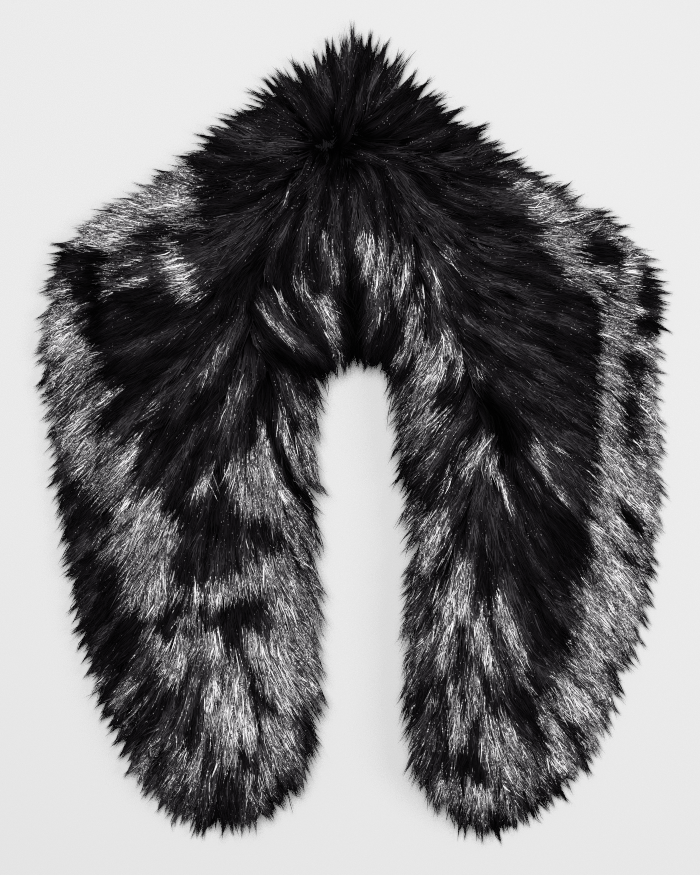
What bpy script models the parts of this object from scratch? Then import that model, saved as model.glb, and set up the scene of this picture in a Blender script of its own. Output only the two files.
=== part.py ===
"""Fur collar wrap, laid flat with the fur up.

Four fur panels, in metres with +Z up: the fall (upper layer) and the wider under layer, each cut
in a left and a right half that meet at centre back. The wrap lies on z = 0, with its peak to +Y.
Each panel is a loft through sections that run from the inner edge, along the gap between the
fronts, to the outer edge. Locks of fur make its rim pointed and its top shingled.
"""

import math
import random
from collections import namedtuple

import bmesh
import bpy
from mathutils import Matrix, Vector

MM = 0.001

# Sizes shared by all panels, in millimetres
SEAM_GAP = 0.3
LAYER_GAP = 0.3
UNDER_THICKNESS = 14.0
UNDER_INSET = 5.0
BAND_RISE = 7.0
STATION_STEP = 5.6
TIP_ROUNDING = 42.0
THINNEST_FALL = 3.0

# Height left at a front's tip, as a share of the full height
TIP_HEIGHT = 0.34

# Locks of fur: their length in stations, the relief of the top in millimetres, where the relief
# fades out, and the sizes of the smallest locks as shares of the largest
STATIONS_PER_LOCK = 4
SHINGLE_RELIEF = 5.5
FULL_RELIEF_STEP = 4.5
FULL_RELIEF_HEIGHT = 14.0
LOWEST_SHINGLE = 0.45
SHORTEST_LOCK = 0.6
STEEPEST_LOCK = 1.1

# How far rim locks turn to the front's tip, and after how many stations from centre back
COMB_TURN = 0.95
COMB_TURN_STATIONS = 14

# A row for each section, in millimetres: its two ends, how far the under layer shows outside the
# fall, the fall's height above the under layer, and how far the section bows to the front's tip
Section = namedtuple("Section", "inner_x inner_y outer_x outer_y reveal crown bow")

LEFT_SECTIONS = [
    Section(0, 41, 0, 280, 69, 34, 0),
    Section(-6, 43, -43, 247, 45, 36, 0),
    Section(-13, 42, -87, 217, 28, 38, 0),
    Section(-18, 36, -144, 175, 29, 38, 0),
    Section(-22, 28, -206, 133, 31, 36, 0),
    Section(-24, 17, -216, 98, 32, 35, 0),
    Section(-25, 0, -221, 59, 32, 34, 0),
    Section(-26, -25, -217, 14, 34, 34, 0),
    Section(-26, -56, -211, -35, 32, 33, 0),
    Section(-25, -91, -205, -84, 24, 33, 1),
    Section(-23, -126, -195, -133, 20, 32, 2),
    Section(-23, -168, -185, -182, 18, 31, 3),
    Section(-24, -210, -168, -217, 17, 30, 5),
    Section(-33, -243, -148, -253, 16, 28, 8),
    Section(-54, -268, -119, -274, 14, 26, 9),
]

RIGHT_SECTIONS = [
    Section(0, 41, 0, 280, 69, 34, 0),
    Section(8, 43, 34, 250, 46, 36, 0),
    Section(15, 42, 73, 217, 29, 38, 0),
    Section(21, 38, 137, 175, 38, 38, 0),
    Section(24, 29, 199, 133, 44, 36, 0),
    Section(27, 17, 218, 91, 48, 35, 0),
    Section(27, 0, 216, 56, 46, 34, 0),
    Section(30, -25, 216, 14, 45, 34, 0),
    Section(35, -56, 218, -35, 48, 33, 0),
    Section(35, -91, 212, -84, 47, 33, 1),
    Section(33, -126, 206, -130, 45, 32, 2),
    Section(34, -168, 188, -179, 42, 31, 3),
    Section(34, -210, 172, -220, 38, 30, 5),
    Section(42, -243, 150, -255, 27, 28, 8),
    Section(58, -268, 121, -274, 16, 26, 9),
]

# Points across the fall's top: place from inner edge (0) to outer edge (1), share of the crown
TopPoint = namedtuple("TopPoint", "place height")

FALL_TOP = [
    TopPoint(0.04, 0.62),
    TopPoint(0.11, 0.84),
    TopPoint(0.20, 0.95),
    TopPoint(0.30, 1.00),
    TopPoint(0.41, 1.00),
    TopPoint(0.52, 0.99),
    TopPoint(0.63, 0.96),
    TopPoint(0.73, 0.91),
    TopPoint(0.83, 0.82),
    TopPoint(0.91, 0.68),
    TopPoint(0.97, 0.50),
]
FALL_BOTTOM = [0.87, 0.5, 0.1]
FALL_INNER_RIM = 0.30
FALL_OUTER_RIM = 0.28

# Points across the under layer's top. Near the inner edge: distance from it and height. On the
# band outside the fall: place on the band, share of the band's rise, share of the lock relief.
EdgePoint = namedtuple("EdgePoint", "distance height")
BandPoint = namedtuple("BandPoint", "place rise relief")

UNDER_EDGE = [EdgePoint(10.0, 11.0), EdgePoint(20.0, 14.0)]
UNDER_BAND = [BandPoint(0.42, 0.71, 0.15), BandPoint(0.72, 0.64, 0.5), BandPoint(0.90, -0.1, 0.25)]
UNDER_RIM = 0.45
UNDER_SOLE_INSET = 15.0

# Heights of the drawn-out end of a front above its layer's base, in millimetres
End = namedtuple("End", "low high")
FALL_END = End(1.5, 5.0)
UNDER_END = End(3.0, 8.0)

# Dips pressed into the fall's top: the parting, the whorl and the creases, in millimetres
Dip = namedtuple("Dip", "x y half_length half_width angle depth")

DIPS = [
    Dip(0, 86, 50, 11, 94, 14),
    Dip(-16, 206, 14, 14, 0, 8),
    Dip(-45, 50, 30, 8, -20, 9),
    Dip(100, 4, 24, 13, 60, 15),
    Dip(-118, -136, 34, 8, 10, 7),
]

# Locks along a rim, in millimetres: how far a tip stands out and a valley lies back from the edge
Rim = namedtuple("Rim", "tip valley")
OUTER_RIM = Rim(10.0, 7.0)
INNER_RIM = Rim(7.0, 4.0)
FALL_EDGE_RIM = Rim(9.5, 4.5)

Look = namedtuple("Look", "colour roughness")
LOOKS = {
    "fall": Look((0.035, 0.032, 0.036, 1.0), 0.62),
    "under": Look((0.24, 0.235, 0.24, 1.0), 0.58),
}


def smooth_value(before, start, end, after, share):
    """Catmull-Rom value between start and end."""
    square = share * share
    cube = square * share
    return 0.5 * (
        2 * start
        + (end - before) * share
        + (2 * before - 5 * start + 4 * end - after) * square
        + (3 * start - before - 3 * end + after) * cube
    )


def section_at(sections, position):
    """The smooth section at a position counted in table rows."""
    last = len(sections) - 1
    row = min(int(position), last - 1)
    share = position - row
    near = [sections[min(max(row + step, 0), last)] for step in (-1, 0, 1, 2)]
    return Section(*(smooth_value(*values, share) for values in zip(*near)))


def ends(section):
    """Inner and outer end of a section."""
    return Vector((section.inner_x, section.inner_y)), Vector((section.outer_x, section.outer_y))


def even_stations(sections):
    """Sections about STATION_STEP apart along the outer edge."""
    fine = [section_at(sections, index / 40) for index in range(40 * (len(sections) - 1) + 1)]
    lengths = [0.0]
    for first, second in zip(fine, fine[1:]):
        lengths.append(lengths[-1] + (ends(second)[1] - ends(first)[1]).length)
    count = round(lengths[-1] / STATION_STEP / STATIONS_PER_LOCK) * STATIONS_PER_LOCK
    stations = []
    for index in range(count + 1):
        target = lengths[-1] * index / count
        nearest = min(range(len(fine)), key=lambda place: abs(lengths[place] - target))
        stations.append(fine[nearest])
    return stations


class Plan:
    """The flat layout of one side: stations, and the directions across and along it."""

    def __init__(self, sections):
        self.stations = even_stations(sections)
        self.count = len(self.stations)

    def point(self, index, place):
        """Plan point at a station, place 0 at the inner edge and 1 at the outer edge."""
        section = self.stations[index]
        inner, outer = ends(section)
        across = (outer - inner).normalized()
        along = self.along(index, place)
        bow = 4 * place * (1 - place) * section.bow
        return inner + (outer - inner) * place + (along - across * along.dot(across)) * bow

    def along(self, index, place):
        """Direction from centre back to the front's tip."""
        before = self.stations[max(index - 1, 0)]
        after = self.stations[min(index + 1, self.count - 1)]
        start = ends(before)[0].lerp(ends(before)[1], place)
        end = ends(after)[0].lerp(ends(after)[1], place)
        return (end - start).normalized()

    def across(self, index):
        inner, outer = ends(self.stations[index])
        return (outer - inner).normalized()

    def width(self, index):
        inner, outer = ends(self.stations[index])
        return (outer - inner).length

    def spacing(self, index, place):
        """Distance between neighbouring stations."""
        near = min(index + 1, self.count - 1)
        return (self.point(near, place) - self.point(near - 1, place)).length

    def tip_share(self, index):
        """Share of the full height: 1 along the front, less where the tip rounds off."""
        section = self.stations[index]
        end = self.stations[-1]
        middle = ends(section)[0].lerp(ends(section)[1], 0.5)
        end_middle = ends(end)[0].lerp(ends(end)[1], 0.5)
        share = min(1.0, (middle - end_middle).length / TIP_ROUNDING)
        return TIP_HEIGHT + (1 - TIP_HEIGHT) * math.sin(share * math.pi / 2)

    def fall_edge(self, index):
        """Place of the fall's outer edge on the section."""
        return 1 - self.stations[index].reveal / self.width(index)


def comb(plan, index, place, outward):
    """Direction in which the rim's locks point: outward, turned to the front's tip."""
    turn = COMB_TURN * min(1.0, index / COMB_TURN_STATIONS)
    direction = plan.across(index) * outward + plan.along(index, place) * turn
    return direction.normalized()


def lock_reach(rim, index, spacing, chance):
    """How far a rim point lies outside the edge: a saw-tooth with one lock every few stations."""
    phase = (index - 1) % STATIONS_PER_LOCK / (STATIONS_PER_LOCK - 1)
    reach = -rim.valley + (rim.tip + rim.valley) * phase
    limit = STEEPEST_LOCK * spacing * STATIONS_PER_LOCK / (rim.tip + rim.valley)
    size = SHORTEST_LOCK + (1 - SHORTEST_LOCK) * chance[index // STATIONS_PER_LOCK]
    return reach * min(1.0, limit) * size


def dip_depth(point):
    """How far the fall's top is pressed in at a plan point."""
    depth = 0.0
    for dip in DIPS:
        offset = point - Vector((dip.x, dip.y))
        turn = math.radians(dip.angle)
        lengthwise = offset.x * math.cos(turn) + offset.y * math.sin(turn)
        sideways = offset.y * math.cos(turn) - offset.x * math.sin(turn)
        distance = (lengthwise / dip.half_length) ** 2 + (sideways / dip.half_width) ** 2
        depth += dip.depth * math.exp(-distance)
    return depth


def shingle(plan, index, column, place, chance):
    """Height of the lock relief at a grid point: locks rise to their tips, like scales."""
    stagger = index + (column % 2) * (STATIONS_PER_LOCK // 2)
    phase = (stagger % STATIONS_PER_LOCK) / (STATIONS_PER_LOCK - 1)
    draw = chance[(stagger // STATIONS_PER_LOCK + column * 7) % len(chance)]
    size = LOWEST_SHINGLE + (1 - LOWEST_SHINGLE) * draw
    room = min(1.0, plan.spacing(index, place) / FULL_RELIEF_STEP)
    return SHINGLE_RELIEF * (phase - 0.5) * size * room


def rim_point(plan, index, place, outward, rim, height, chance):
    """A point of the pointed rim."""
    base = plan.point(index, place)
    reach = lock_reach(rim, index, plan.spacing(index, place), chance)
    point = base + comb(plan, index, place, outward) * reach
    return (point.x, point.y, height)


def surface_point(plan, index, place, height):
    point = plan.point(index, place)
    return (point.x, point.y, height)


def fall_ring(plan, index, chance):
    """Section ring of the fall: inner rim, top, outer rim and flat underside."""
    base = UNDER_THICKNESS + LAYER_GAP
    crown = plan.stations[index].crown * plan.tip_share(index)
    edge = plan.fall_edge(index)
    ring = [rim_point(plan, index, 0.0, -1, INNER_RIM, base + FALL_INNER_RIM * crown, chance)]
    for column, top in enumerate(FALL_TOP):
        place = top.place * edge
        height = top.height * crown
        relief = min(1.0, height / FULL_RELIEF_HEIGHT)
        height += shingle(plan, index, column, place, chance) * relief
        height -= dip_depth(plan.point(index, place)) * top.height
        ring.append(surface_point(plan, index, place, base + max(height, THINNEST_FALL)))
    ring.append(rim_point(plan, index, edge, 1, FALL_EDGE_RIM, base + FALL_OUTER_RIM * crown, chance))
    for place in FALL_BOTTOM:
        ring.append(surface_point(plan, index, place * edge, base))
    return ring


def under_ring(plan, index, chance):
    """Section ring of the under layer: flat under the fall, a mound of fur outside it."""
    edge = plan.fall_edge(index)
    width = plan.width(index)
    rise = BAND_RISE * min(1.0, 2 * (plan.tip_share(index) - TIP_HEIGHT))
    relief = shingle(plan, index, 1, 1.0, chance)
    rim_height = UNDER_THICKNESS * UNDER_RIM
    ring = [rim_point(plan, index, UNDER_INSET / width, -1, INNER_RIM, rim_height, chance)]
    for point in UNDER_EDGE:
        ring.append(surface_point(plan, index, point.distance / width, point.height))
    ring.append(surface_point(plan, index, edge * FALL_BOTTOM[0], UNDER_THICKNESS))
    for point in UNDER_BAND:
        height = UNDER_THICKNESS + point.rise * rise + point.relief * relief
        ring.append(surface_point(plan, index, edge + (1 - edge) * point.place, height))
    ring.append(rim_point(plan, index, 1.0, 1, OUTER_RIM, rim_height, chance))
    sole = UNDER_SOLE_INSET / width
    for place in (1 - sole, 0.5, sole):
        ring.append(surface_point(plan, index, place, 0.0))
    return ring


def end_ring(plan, ring, base, end, rim):
    """The last ring, drawn out into locks at the front's tip and thinned to their points."""
    ahead = plan.along(plan.count - 1, 0.5)
    drawn = []
    for number, (x, y, z) in enumerate(ring):
        on_sole = z <= base
        height = end.low if on_sole else end.high
        reach = rim.tip if number % 2 else -rim.valley / 2
        if on_sole:
            reach = rim.tip / 5
        drawn.append((x + ahead.x * reach, y + ahead.y * reach, base + height))
    return drawn


def loft(name, rings, look, collection):
    """A closed solid through rings of equal count, capped at both ends."""
    mesh_data = bmesh.new()
    rows = [[mesh_data.verts.new(Vector(point) * MM) for point in ring] for ring in rings]
    for row, following in zip(rows, rows[1:]):
        for place in range(len(row)):
            beside = (place + 1) % len(row)
            mesh_data.faces.new((row[place], row[beside], following[beside], following[place]))
    caps = [mesh_data.faces.new(rows[0]), mesh_data.faces.new(rows[-1])]
    bmesh.ops.triangulate(mesh_data, faces=caps)
    bmesh.ops.recalc_face_normals(mesh_data, faces=mesh_data.faces[:])
    mesh = bpy.data.meshes.new(name)
    mesh_data.to_mesh(mesh)
    mesh_data.free()
    panel = bpy.data.objects.new(name, mesh)
    mesh.materials.append(fur_material(name + "_fur", look))
    collection.objects.link(panel)
    return panel


def fur_material(name, look):
    material = bpy.data.materials.new(name)
    material.use_nodes = True
    shader = material.node_tree.nodes["Principled BSDF"]
    shader.inputs["Base Color"].default_value = look.colour
    shader.inputs["Roughness"].default_value = look.roughness
    shader.inputs["Metallic"].default_value = 0.0
    material.diffuse_color = look.colour
    return material


def seam_side(ring, side):
    """Keep a ring half the seam gap away from centre back."""
    limit = SEAM_GAP / 2
    return [(side * max(abs(x) if x * side > 0 else 0.0, limit), y, z) for x, y, z in ring]


def centre_on_floor(panels):
    """Move the whole wrap so that its box stands centred on the origin."""
    corners = [vertex.co for panel in panels for vertex in panel.data.vertices]
    low = Vector(min(corner[axis] for corner in corners) for axis in range(3))
    high = Vector(max(corner[axis] for corner in corners) for axis in range(3))
    offset = Vector(((low.x + high.x) / 2, (low.y + high.y) / 2, low.z))
    for panel in panels:
        panel.data.transform(Matrix.Translation(-offset))


def build_side(name, sections, side, seed, collection):
    """The fall and the under layer of one side."""
    plan = Plan(sections)
    source = random.Random(seed)
    chance = [source.random() for _ in range(plan.count)]
    fall = [seam_side(fall_ring(plan, index, chance), side) for index in range(plan.count)]
    under = [seam_side(under_ring(plan, index, chance), side) for index in range(plan.count)]
    fall.append(end_ring(plan, fall[-1], UNDER_THICKNESS + LAYER_GAP, FALL_END, INNER_RIM))
    under.append(end_ring(plan, under[-1], 0.0, UNDER_END, OUTER_RIM))
    loft("upper_" + name, fall, LOOKS["fall"], collection)
    loft("under_" + name, under, LOOKS["under"], collection)


def main():
    for old in list(bpy.data.objects):
        bpy.data.objects.remove(old)
    collection = bpy.data.collections.new("fur_collar_wrap")
    bpy.context.scene.collection.children.link(collection)
    build_side("left", LEFT_SECTIONS, -1, 3, collection)
    build_side("right", RIGHT_SECTIONS, 1, 8, collection)
    centre_on_floor(collection.objects)


main()
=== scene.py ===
"""Fur collar wrap laid flat: four ground cloths, combed locks of fur and a plain studio."""

import math
from collections import namedtuple

import bmesh
import bpy
import numpy as np
from bpy.props import FloatProperty, FloatVectorProperty, PointerProperty
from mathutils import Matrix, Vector
from mathutils.bvhtree import BVHTree
from mathutils.kdtree import KDTree


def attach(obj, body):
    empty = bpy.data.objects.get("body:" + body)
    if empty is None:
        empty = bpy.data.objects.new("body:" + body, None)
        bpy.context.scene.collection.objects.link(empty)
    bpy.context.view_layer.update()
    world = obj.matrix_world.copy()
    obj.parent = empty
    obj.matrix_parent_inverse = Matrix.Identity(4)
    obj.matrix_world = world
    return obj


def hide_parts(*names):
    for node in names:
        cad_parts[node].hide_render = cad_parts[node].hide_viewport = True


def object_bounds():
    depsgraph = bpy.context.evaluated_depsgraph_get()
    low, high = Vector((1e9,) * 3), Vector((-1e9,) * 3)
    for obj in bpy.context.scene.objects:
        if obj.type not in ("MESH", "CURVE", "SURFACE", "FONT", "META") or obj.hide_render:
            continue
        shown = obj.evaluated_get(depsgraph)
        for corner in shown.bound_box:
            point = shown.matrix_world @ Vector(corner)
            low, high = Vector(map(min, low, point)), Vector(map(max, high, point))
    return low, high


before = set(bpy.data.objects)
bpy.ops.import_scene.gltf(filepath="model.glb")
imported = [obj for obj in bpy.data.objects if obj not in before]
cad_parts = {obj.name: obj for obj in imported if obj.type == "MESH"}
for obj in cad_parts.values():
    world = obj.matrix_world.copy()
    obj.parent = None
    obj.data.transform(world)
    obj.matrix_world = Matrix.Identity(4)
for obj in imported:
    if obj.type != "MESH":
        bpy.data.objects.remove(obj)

bl_info = {
    "name": "Fur collar wrap",
    "version": (1, 0, 0),
    "blender": (4, 5, 0),
    "location": "View3D > Sidebar > Fur Wrap",
    "description": "Builds a long-pile fur collar wrap on its packed frame",
    "category": "Object",
}

CAD_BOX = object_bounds()
MM = 0.001

# The photograph's frame: its size in pixels, its scale, and the pixel that lies over the origin
PHOTO_WIDTH = 700
PHOTO_HEIGHT = 875
PHOTO_SCALE = 0.7 * MM
ORIGIN_PHOTO_X = 351.64
ORIGIN_PHOTO_Y = 434.43

# Least value that is divided by
TINY = 1e-6

# Plan maps: the size of a cell, how far they reach past the part, and the height rays start from
CELL = 2.0 * MM
MARGIN = 30 * MM
RAY_START = 1.0

# A layer's map: its blurs in cells, and the cover from which a cell takes its height from near by
# and from which it lies inside the outline
OUTLINE_BLUR = 2.5
WIDE_BLUR = 8
TOP_BLUR = 1.5
DEPTH_BLUR = 2.6
LEAST_COVER = 0.08
INSIDE_COVER = 0.5

# The seam at centre back: its place, its gap, and how near it a point counts as on it
SEAM_X = 0.95 * MM
SEAM_GAP = 0.3 * MM
SEAM_TOLERANCE = 0.1 * MM

# Ground cloths: their wall, the height of each layer's top, how far the fall's cloth turns down at
# its edge, and the ways over which it turns down and over which its crown rises
CLOTH_THICKNESS = 2.0 * MM
UNDER_CLOTH_TOP = 2.6 * MM
FALL_CLOTH_TOP = 16.8 * MM
FALL_CLOTH_TURN = 7.0 * MM
FALL_TURN_WIDTH = 12 * MM
FALL_CROWN_WIDTH = 26 * MM

# A cloth's cut edge: how far inside the fur's outline it runs, the grid's step, and how its points
# are drawn to it: the passes, the step that the slope is measured over, and the share of the way
EDGE_INSET = 12 * MM
CLOTH_STEP = 7 * MM
EDGE_PASSES = 3
EDGE_SLOPE_STEP = 1.5 * MM
EDGE_PULL = 0.9

# Colours of the knit's grooves and ribs: the darker grooves are painted shade
KNIT_GROOVE_SHADE = (0.006, 0.006, 0.007)
KNIT_RIB = (0.016, 0.015, 0.017)

# Hair directions read from the photograph: a pixel, and the angle that hair points to there,
# counted from image right (0) towards image up (90)
Comb = namedtuple("Comb", "photo_x photo_y angle")

COMBING = [
    # Peak and whorl
    Comb(345, 40, 92), Comb(312, 68, 112), Comb(288, 92, 132), Comb(383, 72, 64),
    Comb(410, 98, 42), Comb(355, 98, 84), Comb(300, 138, 178), Comb(360, 150, -22),
    Comb(330, 168, 268), Comb(343, 116, 82), Comb(318, 118, 120), Comb(372, 120, 30),
    # Left shoulder
    Comb(250, 115, 160), Comb(215, 140, 165), Comb(180, 165, 166), Comb(130, 195, 162),
    Comb(85, 225, 166), Comb(60, 245, 176), Comb(50, 270, 190), Comb(250, 180, 202),
    Comb(200, 200, 188), Comb(150, 222, 179), Comb(200, 260, 206), Comb(150, 280, 192),
    Comb(105, 262, 184), Comb(250, 260, 226),
    # Left front
    Comb(120, 340, 204), Comb(180, 330, 214), Comb(240, 330, 234), Comb(60, 330, 215),
    Comb(50, 400, 222), Comb(100, 400, 218), Comb(150, 400, 222), Comb(200, 400, 234),
    Comb(240, 400, 250), Comb(270, 420, 266), Comb(300, 400, 292), Comb(312, 430, 302),
    Comb(60, 460, 224), Comb(100, 480, 228), Comb(150, 500, 236), Comb(200, 500, 250),
    Comb(240, 500, 266), Comb(270, 500, 280), Comb(300, 500, 298), Comb(316, 520, 308),
    Comb(75, 580, 225), Comb(120, 580, 236), Comb(170, 590, 256), Comb(220, 600, 270),
    Comb(260, 600, 286), Comb(300, 600, 302), Comb(95, 660, 225), Comb(140, 670, 235),
    Comb(190, 680, 254), Comb(230, 690, 270), Comb(270, 680, 290), Comb(306, 680, 306),
    Comb(112, 735, 226), Comb(150, 760, 236), Comb(200, 780, 254), Comb(240, 790, 270),
    Comb(280, 765, 292), Comb(304, 745, 302), Comb(170, 815, 240), Comb(230, 830, 268),
    Comb(278, 808, 300),
    # Back of the neck
    Comb(300, 200, 242), Comb(340, 200, 266), Comb(380, 200, 282), Comb(420, 200, 314),
    Comb(300, 250, 252), Comb(340, 260, 276), Comb(370, 260, 264), Comb(400, 260, 272),
    Comb(440, 250, 306), Comb(280, 300, 296), Comb(320, 310, 296), Comb(345, 330, 296),
    Comb(372, 330, 250), Comb(400, 310, 260), Comb(430, 310, 276), Comb(460, 320, 300),
    Comb(330, 355, 304), Comb(355, 366, 270), Comb(382, 360, 248), Comb(402, 372, 236),
    Comb(430, 370, 246), Comb(290, 350, 328), Comb(312, 370, 322), Comb(260, 322, 312),
    # Right shoulder
    Comb(440, 115, 28), Comb(480, 135, 22), Comb(520, 160, 18), Comb(560, 190, 18),
    Comb(610, 225, 18), Comb(640, 250, 10), Comb(660, 280, -6), Comb(480, 200, 350),
    Comb(520, 230, 352), Comb(565, 258, 345), Comb(600, 300, 340), Comb(450, 200, 335),
    Comb(500, 280, 344), Comb(550, 310, 345), Comb(480, 330, 326), Comb(530, 360, 332),
    Comb(580, 360, 334), Comb(620, 252, 350), Comb(650, 310, 342), Comb(655, 355, 330),
    # Right front
    Comb(500, 400, 318), Comb(560, 400, 328), Comb(590, 440, 322), Comb(650, 420, 320),
    Comb(630, 430, 315), Comb(655, 490, 315), Comb(640, 555, 312), Comb(620, 620, 312),
    Comb(590, 680, 312), Comb(560, 740, 310), Comb(530, 790, 304), Comb(490, 820, 280),
    Comb(445, 818, 262), Comb(420, 790, 250), Comb(398, 400, 238), Comb(405, 440, 232),
    Comb(410, 500, 232), Comb(410, 560, 235), Comb(410, 620, 238), Comb(412, 680, 240),
    Comb(414, 740, 238), Comb(440, 400, 224), Comb(470, 440, 224), Comb(455, 470, 236),
    Comb(500, 480, 284), Comb(540, 480, 310), Comb(570, 520, 312), Comb(450, 520, 242),
    Comb(480, 540, 268), Comb(510, 540, 292), Comb(550, 580, 308), Comb(450, 600, 254),
    Comb(480, 620, 272), Comb(510, 630, 294), Comb(560, 640, 310), Comb(450, 700, 262),
    Comb(480, 720, 276), Comb(520, 720, 300), Comb(450, 770, 264), Comb(484, 780, 278),
    Comb(520, 770, 300),
]

# How the hold of a mark on the hair falls off: its reach, what softens it near by, and how fast
COMB_REACH = 9.0 * MM
COMB_SOFTNESS = 0.35
COMB_FALL = 1.7

# Silver frosting read from the photograph: a streak's two ends in pixels, its half width in
# pixels, and the share of hairs in it that are silver. Streaks of painted shade, in hollows,
# grooves and creases, have less than 0.
Streak = namedtuple("Streak", "photo_x photo_y end_x end_y half_width share")

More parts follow.
